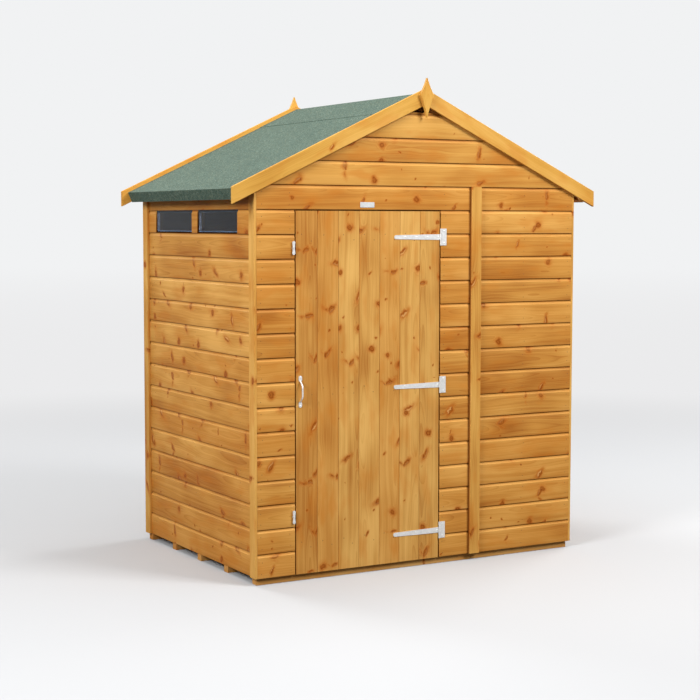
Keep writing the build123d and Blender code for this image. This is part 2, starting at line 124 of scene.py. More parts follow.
class Timber:
    """A mesh of many timbers. Each point knows its place in the log that its timber came from."""

    def __init__(self, seed):
        self.random = random.Random(seed)
        self.bm = self.new_mesh()

    @staticmethod
    def new_mesh():
        """An empty mesh with the place in the log, the timber's darkness, and the shading: pooled dip with
        painted light and shade.
        """
        bm = bmesh.new()
        bm.verts.layers.float_vector.new("grain")
        bm.verts.layers.float.new("tone")
        bm.verts.layers.float.new("dip_and_painted_shading")
        return bm

    def log(self):
        """Where one timber lay in its tree, from the pith, and how dark it is."""
        pick = self.random
        side = pick.uniform(-PITH_SIDE, PITH_SIDE)
        place = Vector((pick.uniform(0, LOG_LENGTH), side, pick.uniform(*PITH_DEPTH)))
        return place, max(-2, min(2, pick.gauss(0, 1)))

    def join(self, bm):
        """Adds one more timber."""
        mesh = bpy.data.meshes.new("timber")
        bm.to_mesh(mesh)
        bm.free()
        self.bm.from_mesh(mesh)
        bpy.data.meshes.remove(mesh)

    def board(self, place, outline, start, end, cuts=(), dips_and_shadings=()):
        """A board whose outline, in across, depth and a shading value, runs from start to end along the
        grain.

        More sections on the way paint a shadow, as (along, shading). The last shading stays to the end.
        """
        bm = self.new_mesh()
        grain = bm.verts.layers.float_vector["grain"]
        tone = bm.verts.layers.float["tone"]
        dip_and_painted_shading = bm.verts.layers.float["dip_and_painted_shading"]
        log, dark = self.log()
        middle = sum(across for across, depth, dip_and_shading in outline) / len(outline)
        sections = [(start, 0.0), *dips_and_shadings, (end, dips_and_shadings[-1][1] if dips_and_shadings else 0.0)]
        rings = []
        for along, extra in sections:
            ring = []
            for across, depth, dip_and_shading in outline:
                vert = bm.verts.new(place(along, across, depth))
                vert[grain] = log + Vector((along, across - middle, depth))
                vert[tone] = dark
                vert[dip_and_painted_shading] = max(dip_and_shading, extra) if extra else dip_and_shading
                ring.append(vert)
            rings.append(ring)
        for near, far in zip(rings, rings[1:]):
            for i in range(len(outline)):
                j = (i + 1) % len(outline)
                bm.faces.new((near[i], near[j], far[j], far[i]))
        bm.faces.new(rings[0][::-1])
        bm.faces.new(rings[-1])
        bmesh.ops.recalc_face_normals(bm, faces=bm.faces)
        for point, normal in cuts:
            geometry = bm.verts[:] + bm.edges[:] + bm.faces[:]
            made = bmesh.ops.bisect_plane(
                bm, geom=geometry, dist=CUT, plane_co=point, plane_no=normal, clear_outer=True)
            edges = [e for e in made["geom_cut"] if isinstance(e, bmesh.types.BMEdge)]
            if edges:
                bmesh.ops.edgenet_fill(bm, edges=edges)
        if bm.faces:
            self.join(bm)

    def copy(self, node, along=None, ease=EASE):
        """The timbers of a node, with eased edges."""
        bm = self.new_mesh()
        bm.from_mesh(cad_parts[node].data)
        bmesh.ops.remove_doubles(bm, verts=bm.verts, dist=WELD)
        bmesh.ops.dissolve_limit(bm, angle_limit=FLAT_WITHIN, verts=bm.verts, edges=bm.edges)
        sharp = [e for e in bm.edges if len(e.link_faces) == 2 and e.calc_face_angle(0) > EASED_OVER]
        bmesh.ops.bevel(bm, geom=sharp, offset=ease, segments=1, affect="EDGES", clamp_overlap=True)
        grain = bm.verts.layers.float_vector["grain"]
        tone = bm.verts.layers.float["tone"]
        for island in islands(bm):
            centre, turn = self.axes(island, along)
            log, dark = self.log()
            for vert in island:
                vert[grain] = log + turn @ (vert.co - centre)
                vert[tone] = dark
        self.join(bm)

    @staticmethod
    def axes(island, along):
        """The middle of a timber, and the turn from the shed's axes to along, across and depth.

        Along is its longest edge, unless it is given. Across is the wider way of the other two.
        """
        if along is None:
            edges = [e for v in sorted(island, key=lambda v: v.index) for e in v.link_edges]
            longest = max(edges, key=lambda e: round(e.calc_length(), 5))
            along = longest.verts[1].co - longest.verts[0].co
        along = Vector(along).normalized()
        others = [axis - along * along.dot(axis) for axis in Matrix.Identity(3)]
        others = [axis.normalized() for axis in others if axis.length > 0.5]

        def reach(axis):
            places = [v.co.dot(axis) for v in island]
            return max(places) - min(places)

        across = max(others, key=reach)
        depth = along.cross(across)
        centre = sum((v.co for v in island), Vector()) / len(island)
        return centre, Matrix((along, across, depth))

    def piece(self, name, material, slot, body, *nodes):
        mesh = bpy.data.meshes.new(name)
        bmesh.ops.recalc_face_normals(self.bm, faces=self.bm.faces)
        self.bm.to_mesh(mesh)
        self.bm.free()
        return add_piece(name, mesh, material, slot, body, *nodes)


def islands(bm):
    """Lists of joined vertices, always in the same order."""
    bm.verts.ensure_lookup_table()
    bm.verts.index_update()
    seen = set()
    found = []
    for first in bm.verts:
        if first in seen:
            continue
        seen.add(first)
        island = [first]
        for vert in island:
            for edge in vert.link_edges:
                other = edge.other_vert(vert)
                if other not in seen:
                    seen.add(other)
                    island.append(other)
        found.append(island)
    return found


def add_piece(name, mesh, material, slot, body, *nodes):
    """Shows a mesh as a piece of the shed, on its body and in place of its nodes."""
    mesh.materials.append(material)
    mesh.shade_smooth()
    mesh.set_sharp_from_angle(angle=SHARP_OVER)
    piece = bpy.data.objects.new(name, mesh)
    bpy.context.collection.objects.link(piece)
    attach(piece, body)
    if nodes:
        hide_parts(*nodes)
    return piece


# Outlines of boards, as (across, depth, shading), from the lower edge up. A shading of 1 is the dark dip
# that gathers in joints, and in shiplap, strips and beads also painted shade. 0 is the plain finish, and
# below 0 the wood is painted paler as a highlight.


def shiplap_outline(first, last):
    """A shiplap board: a face, a hollow along the top, a tongue, and a rebate over the tongue below.

    The face grows darker towards its foot. The hollow is painted pale towards the face as a highlight,
    and dark towards the tongue as shade with pooled dip. The rebate is painted dark the same way.
    """
    radius = (COVE ** 2 + COVE_DEPTH ** 2) / (2 * COVE_DEPTH)
    widest = math.asin(COVE / radius)
    cove = COURSE - COVE
    dark_to, plain_from, plain_to = 0.008, 0.045, cove - 0.010
    # The foot grows darker, and the top of the face is painted paler, leading into the highlight.
    points = [
        (0.0, ARRIS, 0.9), (ARRIS, 0.0, 0.28), (dark_to, 0.0, 0.12), (plain_from, 0.0, 0.0),
        (plain_to, 0.0, -0.1), (cove, 0.0, -0.45),
    ]
    # Through the hollow: painted highlight towards the face, painted shade with pooled dip towards the
    # tongue.
    dips_and_shadings = (-0.6, -0.5, -0.2, 0.05, 0.45, 0.9)     # through the hollow
    for i, dip_and_shading in enumerate(dips_and_shadings, 1):
        angle = widest * (1 - i / len(dips_and_shadings))
        across = COURSE - radius * math.sin(angle)
        depth = COVE_DEPTH - radius * (1 - math.cos(angle))
        points.append((across, depth, dip_and_shading))
    lap = LAST_LAP if last else LAP
    points += [(COURSE + lap, COVE_DEPTH, 0.0 if last else 1.0), (COURSE + lap, BOARD, 0.5)]
    if first:
        points.append((0.0, BOARD, 0.5))
    else:
        # The rebate is painted dark as shade, with pooled dip.
        foot = LAP + LAP_PLAY
        lip = COVE_DEPTH - LAP_PLAY
        points += [(foot, BOARD, 0.5), (foot, lip, 1.0), (0.0, lip, 1.0)]
    return points


def tongued_outline(width, thickness):
    """A board with a chamfered joint on each side, a groove and a tongue."""
    gap, cut = JOINT_GAP / 2, JOINT_CHAMFER
    side, back = width - gap, thickness - cut
    tip, groove = width + TONGUE, TONGUE + 2 * gap
    low, high = thickness * 0.42, thickness * 0.68       # cheeks of the groove
    return [
        (gap, cut, 0.4), (gap + cut, 0.0, 0.0), (side - cut, 0.0, 0.0), (side, cut, 0.4),
        (side, low + TONGUE_PLAY, 1.0), (tip, low + TONGUE_PLAY, 1.0),
        (tip, high - TONGUE_PLAY, 1.0), (side, high - TONGUE_PLAY, 1.0),
        (side, back, 0.6), (side - cut, thickness, 0.0), (gap + cut, thickness, 0.0), (gap, back, 0.6),
        (gap, high, 1.0), (groove, high, 1.0), (groove, low, 1.0), (gap, low, 1.0),
    ]


# Faces of the walls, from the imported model

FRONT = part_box("front_cladding_left")[0].y
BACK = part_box("back_cladding")[1].y
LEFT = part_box("left_cladding")[0].x
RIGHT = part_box("right_cladding")[1].x
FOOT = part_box("front_cladding_narrow")[0].z
WALL_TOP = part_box("front_cladding_narrow")[1].z
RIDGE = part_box("gable_frames")[1].z      # underside of the roof boards, at the ridge
RUN, CLIMB = math.cos(ROOF_PITCH), math.sin(ROOF_PITCH)


# Places of a board's points on each wall, from the height of its foot


def on_front(z0):
    return lambda along, across, depth: Vector((along, FRONT + depth, z0 + across))


def on_back(z0):
    return lambda along, across, depth: Vector((along, BACK - depth, z0 + across))


def on_left(z0):
    return lambda along, across, depth: Vector((LEFT + depth, along, z0 + across))


def on_right(z0):
    return lambda along, across, depth: Vector((RIGHT - depth, along, z0 + across))


# Cladding


def clad(timber, side, start, end, z0, z1, cuts=(), dips_and_shadings=()):
    """Courses of shiplap between two ends and two heights."""
    courses = math.ceil((z1 - z0 - LAST_LAP - SAME_HEIGHT) / COURSE)
    for i in range(courses):
        low = z0 + i * COURSE
        first = abs(low - FOOT) < SAME_HEIGHT
        timber.board(side(low), shiplap_outline(first, False), start, end, cuts, dips_and_shadings)


def clad_node(node, side, axis, seed, material, dips_and_shadings=()):
    """Shiplap in place of a node that is one or more upright sheets."""
    timber = Timber(seed)
    for low, high in island_boxes(node):
        clad(timber, side, low[axis], high[axis], low.z, high.z, dips_and_shadings=dips_and_shadings)
    return timber.piece(node + "_boards", material, "cladding_pine", "root", node)


def island_boxes(node):
    """Lowest and highest corner of each solid of a node."""
    bm = bmesh.new()
    bm.from_mesh(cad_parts[node].data)
    bmesh.ops.remove_doubles(bm, verts=bm.verts, dist=WELD)
    boxes = []
    for island in islands(bm):
        low = Vector(min(v.co[i] for v in island) for i in range(3))
        high = Vector(max(v.co[i] for v in island) for i in range(3))
        boxes.append((low, high))
    bm.free()
    return sorted(boxes, key=lambda box: tuple(box[0]))


def roof_cuts():
    """The undersides of the two slopes, as a point and a normal each."""
    return [(Vector((0, 0, RIDGE)), Vector((side * CLIMB, 0, RUN))) for side in (-1, 1)]


def gable(node, side, seed, material):
    """Shiplap cut to the roof, whose last board has a bare tongue."""
    timber = Timber(seed)
    low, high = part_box(node)
    courses = round((high.z - LAST_LAP - low.z) / COURSE)
    for i in range(courses):
        outline = shiplap_outline(False, i == courses - 1)
        timber.board(side(low.z + i * COURSE), outline, low.x, high.x, roof_cuts())
    return timber.piece(node + "_boards", material, "cladding_pine", "root", node)


def side_wall(node, side, seed, material):
    """Shiplap up to the underside of the roof."""
    timber = Timber(seed)
    low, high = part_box(node)
    clad(timber, side, low.y, high.y, low.z, high.z + COURSE, roof_cuts())
    return timber.piece(node + "_boards", material, "cladding_pine", "root", node)


def build_cladding(material, trim):
    """Shiplap on every wall, painted with shadow beside the front's cover strip; the gables are paler wood.
    """
    strip_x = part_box("joint_strips")[0].x
    # Painted shadow on the boards, darkening towards the cover strip.
    strip_shadow = ((strip_x - STRIP_SHADOW_REACH, 0.0), (strip_x - STRIP_SHADOW_REACH / 2, 0.35), (strip_x, 0.85))
    clad_node("front_cladding_left", on_front, 0, 11, material)
    clad_node("front_cladding_right", on_front, 0, 12, material, strip_shadow)
    clad_node("front_cladding_over_door", on_front, 0, 13, material, strip_shadow)
    clad_node("front_cladding_narrow", on_front, 0, 14, material)
    clad_node("back_cladding", on_back, 0, 15, material)
    clad_node("left_cladding", on_left, 1, 16, material)
    clad_node("left_window_posts", on_left, 1, 17, material)
    gable("front_gable_cladding", on_front, 18, trim)
    gable("back_gable_cladding", on_back, 19, trim)
    side_wall("left_head_cladding", on_left, 20, material)
    side_wall("right_cladding", on_right, 21, material)


# Frames, beads and trims


def copied(node, seed, material, slot, along=None, body="root", ease=EASE):
    """A piece with a node's own timbers."""
    timber = Timber(seed)
    timber.copy(node, along, ease)
    return timber.piece(node + "_timber", material, slot, body, node)


def build_frames(material):
    nodes = ("front_studs", "front_rails", "door_stops", "back_studs", "back_rails", "gable_frames",
             "left_studs", "left_rails", "right_studs", "right_rails", "roof_rails", "ridge_beam")
    for seed, node in enumerate(nodes, 40):
        copied(node, seed, material, "frame_pine")


def bead_outline(width, thickness, bed, lip):
    """A bead, flat and painted dark as shade over its bed, a share of its width, sloping down to a lip."""
    return [
        (0.0, 0.0, 1.0), (width * bed, 0.0, 1.0), (width * (bed + 0.02), 0.0002, lip),
        (width, thickness * 0.6, lip), (width, thickness, lip), (0.0, thickness, 1.0),
    ]


def bead_side(low, high, width, lying, panes):
    """Where a bead meets its frame, the way to its lip, the share of its bed, and its lip's painted shading.
    """
    pane = min(panes, key=lambda box: abs(box[0].y - low.y) + abs(box[1].y - high.y))[0]
    if lying:
        # The lower bead's lip is painted pale as a highlight, the upper one's dark as shade.
        return (low.z, 1, 0.6, 0.0) if low.z < pane.z + width else (high.z, -1, 0.6, 1.0)
    # The back upright bead's lip is painted a mid grey-pink, the front one's dark as shade.
    return (high.y, -1, 0.25, 0.5) if low.y > pane.y + width else (low.y, 1, 0.6, 1.0)


def build_beads(material):
    """Glazing beads with a sloping lip, behind the edges of each pane."""
    timber = Timber(55)
    panes = island_boxes("window_panes")
    for low, high in island_boxes("window_beads"):
        width = min(high.y - low.y, high.z - low.z)
        lying = high.y - low.y > high.z - low.z
        foot, sign, bed, lip = bead_side(low, high, width, lying, panes)
        outline = bead_outline(width, high.x - low.x, bed, lip)

        def in_frame(along, across, depth, lying=lying, foot=foot, sign=sign, x0=low.x):
            edge = foot + sign * across
            return Vector((x0 + depth, along, edge)) if lying else Vector((x0 + depth, edge, along))

        start, end = (low.y, high.y) if lying else (low.z, high.z)
        timber.board(in_frame, outline, start, end)
    timber.piece("window_beads_fitted", material, "trim_pine", "root", "window_beads")


def build_strips(material):
    """Cover strips over the panels' joints, painted dark as shadow on the wide panel's side of them."""
    timber = Timber(62)
    for low, high in island_boxes("joint_strips"):
        width, thickness = high.x - low.x, high.y - low.y
        # The side towards the wide panel is painted dark as shadow, and the other side's foot a little, as
        # shade.
        outline = [
            (EASE, 0.0, 0.0), (width - EASE, 0.0, 0.0), (width, EASE, 0.0), (width, thickness, 0.4),
            (0.0, thickness, 1.0), (0.0, thickness / 2, 0.8), (0.0, EASE, 0.1),
        ]
        face, sign = (low.y, 1) if low.y < 0 else (high.y, -1)

        def on_joint(along, across, depth, x0=low.x, face=face, sign=sign):
            return Vector((x0 + across, face + sign * depth, along))

        timber.board(on_joint, outline, low.z, high.z)
    timber.piece("joint_strips_timber", material, "trim_pine", "root", "joint_strips")


def build_trims(trim, edge):
    build_strips(trim)
    copied("corner_trims", 61, trim, "trim_pine")
    copied("barge_boards_left", 63, edge, "trim_pine")
    copied("barge_boards_right", 64, edge, "trim_pine")
    copied("finials", 65, edge, "trim_pine", (0, 0, 1))


# Door, floor and roof


def build_door(face, inner):
    """Upright tongued boards on ledges and braces."""
    timber = Timber(71)
    low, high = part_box("door_boards")
    width = (high.x - low.x) / DOOR_BOARDS
    for i in range(DOOR_BOARDS):
        x0 = low.x + i * width

        def on_door(along, across, depth, x0=x0):
            return Vector((min(x0 + across, high.x), low.y + depth, along))

        timber.board(on_door, tongued_outline(width, high.y - low.y), low.z, high.z)
    timber.piece("door_boards_face", face, "cladding_pine", "door", "door_boards")
    copied("door_ledges", 72, inner, "frame_pine", body="door", ease=LEDGE_EASE)
    copied("door_braces", 73, inner, "frame_pine", body="door", ease=LEDGE_EASE)


def build_floor(boards, bearers):
    """Tongued boards from front to back, on bearers."""
    timber = Timber(81)
    for low, high in island_boxes("floor_boards"):
        count = round((high.x - low.x) / FLAT_BOARD)
        width = (high.x - low.x) / count
        for i in range(count):
            x0 = low.x + i * width

            def on_floor(along, across, depth, x0=x0, low=low, high=high):
                return Vector((min(x0 + across, high.x), along, high.z - depth))

            timber.board(on_floor, tongued_outline(width, high.z - low.z), low.y, high.y)
    timber.piece("floor_boards_laid", boards, "floor_pine", "root", "floor_boards")
    copied("floor_bearers", 82, bearers, "floor_pine")


def build_roof_boards(material):
    """Tongued boards down each slope, cut plumb where the two slopes meet."""
    for side, node in ((-1, "roof_boards_left"), (1, "roof_boards_right")):
        timber = Timber(90 + side)
        low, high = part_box(node)
        length = (high.x - low.x - BOARD * CLIMB) / RUN
        count = round(length / FLAT_BOARD)
        width = length / count
        plumb = (Vector((0, 0, RIDGE)), Vector((-side, 0, 0)))
        for i in range(count):
            start = i * width if i else -BOARD

            def on_slope(along, across, depth, start=start, side=side, length=length):
                down = min(start + across, length)
                x = side * (down * RUN + depth * CLIMB)
                return Vector((x, along, RIDGE - down * CLIMB + depth * RUN))

            outline = tongued_outline((i + 1) * width - start, BOARD)
            timber.board(on_slope, outline, low.y, high.y, [plumb])
        timber.piece(node + "_laid", material, "frame_pine", "root", node)


# Materials


class Graph:
    """Short calls for the node tree of one material."""

    def __init__(self, name):
        self.material = bpy.data.materials.new(name)
        self.material.use_nodes = True
        self.tree = self.material.node_tree
        self.tree.nodes.clear()

    def node(self, kind, inputs=(), **settings):
        made = self.tree.nodes.new("ShaderNode" + kind)
        for key, value in settings.items():
            setattr(made, key, value)
        for key, value in dict(inputs).items():
            self.feed(made.inputs[key], value)
        return made

    def feed(self, socket, value):
        if isinstance(value, bpy.types.NodeSocket):
            self.tree.links.new(value, socket)
        else:
            socket.default_value = value

    def math(self, operation, *values, clamp=False):
        return self.node("Math", enumerate(values), operation=operation, use_clamp=clamp).outputs[0]

    def attribute(self, name, output="Vector"):
        return self.node("Attribute", attribute_name=name).outputs[output]

    def split(self, vector):
        made = self.node("SeparateXYZ", {0: vector})
        return made.outputs[0], made.outputs[1], made.outputs[2]

    def vector(self, x, y, z):
        return self.node("CombineXYZ", {0: x, 1: y, 2: z}).outputs[0]

    def vectors(self, operation, first, second):
        return self.node("VectorMath", {0: first, 1: second}, operation=operation).outputs[0]

    def scaled(self, vector, x, y, z):
        return self.vectors("MULTIPLY", vector, (x, y, z))

    def place(self):
        """Metres in the shed's own frame."""
        return self.node("TexCoord").outputs["Object"]

    def noise(self, vector, scale=1.0, detail=2.0, roughness=0.5):
        inputs = {"Vector": vector, "Scale": scale, "Detail": detail, "Roughness": roughness}
        return self.node("TexNoise", inputs).outputs["Fac"]

    def step(self, value, start, end, low=0.0, high=1.0):
        """A smooth change from low to high as the value goes from start to end."""
        inputs = {"Value": value, "From Min": start, "From Max": end, "To Min": low, "To Max": high}
        return self.node("MapRange", inputs, interpolation_type="SMOOTHSTEP").outputs[0]

    def mix(self, factor, first, second):
        return self.node("Mix", {0: factor, 6: first, 7: second}, data_type="RGBA").outputs[2]

    def ramp(self, factor, stops):
        """Colours along a value, from stops of (place, colour)."""
        made = self.node("ValToRGB", {0: factor})
        elements = made.color_ramp.elements
        while len(elements) < len(stops):
            elements.new(0.5)
        for element, (place, colour) in zip(elements, stops):
            element.position = place
            element.color = colour
        return made.outputs[0]

    def bump(self, height, distance, strength):
        return self.node("Bump", {"Height": height, "Distance": distance, "Strength": strength}).outputs[0]

    def finish(self, **inputs):
        shader = self.node("BsdfPrincipled", {key.replace("_", " "): value for key, value in inputs.items()})
        self.node("OutputMaterial", {"Surface": shader.outputs[0]})
        return self.material


# Pine

RING = 0.0052            # between growth rings
RUST = srgb(204, 122, 38)
KNOT_HALO = srgb(196, 102, 26)
KNOT_RIM = srgb(176, 86, 18)
KNOT_HEART = (           # by distance from a knot's middle, in knot radii
    (0.0, srgb(112, 52, 8)), (0.3, srgb(180, 102, 34)), (0.62, srgb(146, 70, 12)), (0.95, srgb(112, 48, 4)),
)
PALE_HEART = srgb(226, 170, 100)         # along one side of a knot that was cut lengthways
# Pale is a painted highlight; dark is pooled dip together with painted shade.
PAINTED_HIGHLIGHT = srgb(238, 184, 104)
DIP_AND_PAINTED_SHADE = srgb(108, 46, 2)
PAIRED = 0.6             # leaning knots whose number is over this are pairs


def knots(g, place, cell, radius, share, lean, spread, seed):
    """Knots of two radii, scattered over a board, in a share of its cells.

    They are turned by lean, give or take half the spread. Those that lean are cut lengthways, and
    some are pairs like a V. Returns how far each point is from its knot, in knot radii, the same
    across the knot, and a number between 0 and 1 for each knot.
    """
    x, y = g.split(place)[:2]
    along = g.math("MULTIPLY_ADD", x, 1 / cell[0], seed)
    across = g.math("MULTIPLY_ADD", y, 1 / cell[1], seed)
    spot = g.vector(along, across, 0.0)
    cells = g.node("TexVoronoi", {"Vector": spot, "Scale": 1.0, "Randomness": 0.9}, voronoi_dimensions="2D")
    offset = g.vectors("SUBTRACT", spot, cells.outputs["Position"])
    x, y = g.split(g.scaled(offset, *cell, 0.0))[:2]
    size, turn, kind = g.split(cells.outputs["Color"])
    start = arm = 0.0
    if lean:
        paired = g.math("GREATER_THAN", kind, PAIRED)
        arm = g.math("MULTIPLY", paired, g.math("MULTIPLY", g.math("LESS_THAN", y, 0.0), kind))
        folded = g.math("ABSOLUTE", y)
        y = g.math("ADD", y, g.math("MULTIPLY", paired, g.math("SUBTRACT", folded, y)))
        start = g.math("MULTIPLY", paired, radius[0] * 0.8)
    angle = g.math("MULTIPLY_ADD", g.math("SUBTRACT", turn, 0.5), spread, lean)
    cosine, sine = g.math("COSINE", angle), g.math("SINE", angle)
    long = g.math("ADD", g.math("MULTIPLY", x, cosine), g.math("MULTIPLY", y, sine))
    wide = g.math("SUBTRACT", g.math("MULTIPLY", y, cosine), g.math("MULTIPLY", x, sine))
    long = g.math("DIVIDE", g.math("SUBTRACT", long, start), radius[0])
    wide = g.math("DIVIDE", wide, radius[1])
    far = g.math("SQRT", g.math("ADD", g.math("MULTIPLY", long, long), g.math("MULTIPLY", wide, wide)))
    size = g.step(g.math("DIVIDE", g.math("SUBTRACT", share, size), share), 0.0, 0.6, 0.02, 1.0)
    return g.math("DIVIDE", g.math("ADD", far, arm), size), wide, kind


def pine_knots(g, grain, knotty):
    """The distance to the nearest knot's middle, in knot radii, and the colours inside the knots."""
    bend = g.node("TexNoise", {"Vector": g.scaled(grain, 22, 34, 34), "Scale": 1.0, "Detail": 2.5})
    shift = g.scaled(g.vectors("SUBTRACT", bend.outputs["Color"], (0.5, 0.5, 0.5)), 0.034, 0.026, 0.0)
    bent = g.vectors("ADD", grain, shift)
    oval = knots(g, bent, cell=(0.24, 0.12), radius=(0.0125, 0.0140), share=0.44 * knotty,
                 lean=0.0, spread=2.0, seed=3.0)[0]
    spike, side, kind = knots(g, bent, cell=(0.25, 0.12), radius=(0.024, 0.0092), share=0.58 * knotty,
                              lean=0.95, spread=1.1, seed=17.0)
    pin = knots(g, bent, cell=(0.16, 0.09), radius=(0.0042, 0.0034), share=0.30 * knotty,
                lean=0.0, spread=0.0, seed=29.0)[0]
    edge = g.math("MINIMUM", g.math("MINIMUM", oval, spike), pin)
    in_spike = g.math("LESS_THAN", spike, g.math("MINIMUM", oval, pin))
    pale_side = g.math("MULTIPLY", g.step(side, 0.0, 0.35), g.step(kind, 0.1, 0.5, 0.9, 0.25))
    pale_side = g.math("MULTIPLY", pale_side, in_spike)
    return edge, g.mix(pale_side, g.ramp(edge, KNOT_HEART), PALE_HEART)


def pine_rings(g, grain, halo):
    """Bands of earlywood and thin latewood lines round the pith, pushed outwards round knots."""
    x, y, z = g.split(grain)
    warp = g.math("SUBTRACT", g.noise(g.scaled(grain, 1.6, 6, 6)), 0.5)
    radius = g.math("SQRT", g.math("ADD", g.math("MULTIPLY", y, y), g.math("MULTIPLY", z, z)))
    for push, amount in ((warp, 0.05), (x, 0.006), (g.math("MULTIPLY", halo, halo), 0.012)):
        radius = g.math("ADD", radius, g.math("MULTIPLY", push, amount))
    bands = g.noise(g.vector(g.math("MULTIPLY", radius, 75.0), g.math("MULTIPLY", x, 0.8), 0.0), detail=2)
    late = g.math("POWER", g.math("FRACT", g.math("DIVIDE", radius, RING)), 3.0)
    return bands, late


def pine(name, pale, honey, deep, knotty=1.0, contrast=1.0, roughness=0.5):
    """Plain-sawn pine: growth rings round the pith, bent by knots, in a clear dip."""
    g = Graph(name)
    grain = g.attribute("grain")
    tone = g.attribute("tone", "Fac")
    dip_and_painted_shading = g.attribute("dip_and_painted_shading", "Fac")
    edge, heart = pine_knots(g, grain, knotty)
    patchy = g.math("MULTIPLY_ADD", g.noise(g.scaled(grain, 60, 90, 90), detail=2), 1.6, 0.2)
    core = g.math("MULTIPLY", g.step(edge, 0.6, 1.15, 1.0, 0.0), patchy, clamp=True)
    rim = g.math("MULTIPLY", g.step(edge, 0.9, 1.9, 1.0, 0.0), patchy, clamp=True)
    halo = g.step(edge, 0.8, 3.0, 1.0, 0.0)
    bands, late = pine_rings(g, grain, halo)
    fibre = g.noise(g.scaled(grain, 7, 420, 420), detail=2)
    area = g.noise(g.scaled(grain, 3.2, 7, 7), detail=1)
    warm = g.noise(g.scaled(grain, 4.3, 12, 12), scale=1.3, detail=2)
    hue = g.math("FRACT", g.math("MULTIPLY", tone, 5.17))

    # What darkens the wood, with its middle and its weight
    causes = ((bands, 0.5, 0.85), (late, 0.25, 0.22), (fibre, 0.5, 0.4), (area, 0.5, 1.3), (tone, 0.0, 0.12))
    dark = 0.5
    for cause, middle, weight in causes:
        dark = g.math("ADD", dark, g.math("MULTIPLY", g.math("SUBTRACT", cause, middle), weight * contrast))

    # What is laid over the plain wood, and how much of it
    rust = g.math("ADD", g.step(warm, 0.48, 0.72, 0.0, 0.34), g.math("MULTIPLY", hue, 0.26))
    layers = (
        (rust, RUST),
        (g.math("MULTIPLY", halo, 0.36), KNOT_HALO),
        (g.math("MULTIPLY", rim, 0.50), KNOT_RIM),
        (g.math("MULTIPLY", core, 0.9), heart),
        # A painted highlight where the shading is below 0, and pooled dip with painted shade above it.
        (g.math("MULTIPLY", dip_and_painted_shading, -0.45, clamp=True), PAINTED_HIGHLIGHT),
        (g.math("MULTIPLY", dip_and_painted_shading, 0.85, clamp=True), DIP_AND_PAINTED_SHADE),
    )
    colour = g.ramp(dark, ((0.0, srgb(*pale)), (0.5, srgb(*honey)), (1.0, srgb(*deep))))
    for amount, layer in layers:
        colour = g.mix(amount, colour, layer)

    height = g.math("ADD", g.math("MULTIPLY", fibre, 0.5), g.math("MULTIPLY", late, 0.5))
    height = g.math("ADD", height, g.math("MULTIPLY", core, 0.5))
    rough = g.step(fibre, 0.2, 0.8, roughness - 0.07, roughness + 0.1)
    return g.finish(Base_Color=colour, Roughness=rough, Specular_IOR_Level=0.07,
                    Normal=g.bump(height, 0.0003, 0.5))


# Other materials


def felt(name):
    """Green roofing felt with mineral granules."""
    g = Graph(name)
    place = g.place()
    grit = g.node("TexVoronoi", {"Vector": place, "Scale": 380.0})
    speck, hue = g.split(grit.outputs["Color"])[:2]
    coarse = g.noise(place, scale=95.0, detail=3, roughness=0.8)
    cloud = g.noise(place, scale=5.0, detail=3)
    value = g.math("ADD", g.math("MULTIPLY", speck, 0.4), g.math("MULTIPLY_ADD", coarse, 1.5, -0.35))
    value = g.math("ADD", value, g.math("MULTIPLY", g.math("SUBTRACT", cloud, 0.5), 0.15))
    shade = g.ramp(value, ((0.2, srgb(38, 57, 52)), (0.6, srgb(70, 92, 81)), (1.0, srgb(122, 138, 122))))
    shade = g.mix(g.step(hue, 0.80, 0.92, 0.0, 0.5), shade, srgb(122, 118, 88))
    height = g.math("ADD", g.math("MULTIPLY", grit.outputs["Distance"], -1.0), coarse)
    return g.finish(Base_Color=shade, Roughness=0.92, Specular_IOR_Level=0.25,
                    Normal=g.bump(height, 0.0008, 0.5))


def zinc(name):
    """Bright zinc-plated steel with a faint spangle."""
    g = Graph(name)
    place = g.place()
    flakes = g.node("TexVoronoi", {"Vector": place, "Scale": 160.0})
    cell = g.split(flakes.outputs["Color"])[0]
    cloud = g.noise(place, scale=45.0, detail=3)
    value = g.math("ADD", g.math("MULTIPLY", cell, 0.3), g.math("MULTIPLY", cloud, 0.5))
    colour = g.ramp(value, ((0.2, srgb(210, 210, 208)), (0.8, srgb(232, 230, 228))))
    rough = g.step(cell, 0.0, 1.0, 0.34, 0.44)
    return g.finish(Base_Color=colour, Metallic=0.65, Roughness=rough, Normal=g.bump(cloud, 0.0002, 0.2))


def dark_steel(name):
    """Nail heads under the dip."""
    g = Graph(name)
    cloud = g.noise(g.place(), scale=900.0, detail=1)
    colour = g.ramp(cloud, ((0.3, srgb(84, 50, 22)), (0.7, srgb(128, 84, 44))))
    return g.finish(Base_Color=colour, Metallic=0.3, Roughness=0.5)


def glass(name):
    """Thin clear sheet with a faint film."""
    g = Graph(name)
    film = g.noise(g.place(), scale=14.0, detail=3)
    rough = g.step(film, 0.3, 0.8, 0.01, 0.05)
    tint = g.ramp(film, ((0.3, srgb(156, 168, 184)), (0.8, srgb(148, 160, 178))))
    return g.finish(Base_Color=tint, Roughness=rough, IOR=1.16, Transmission_Weight=1.0)


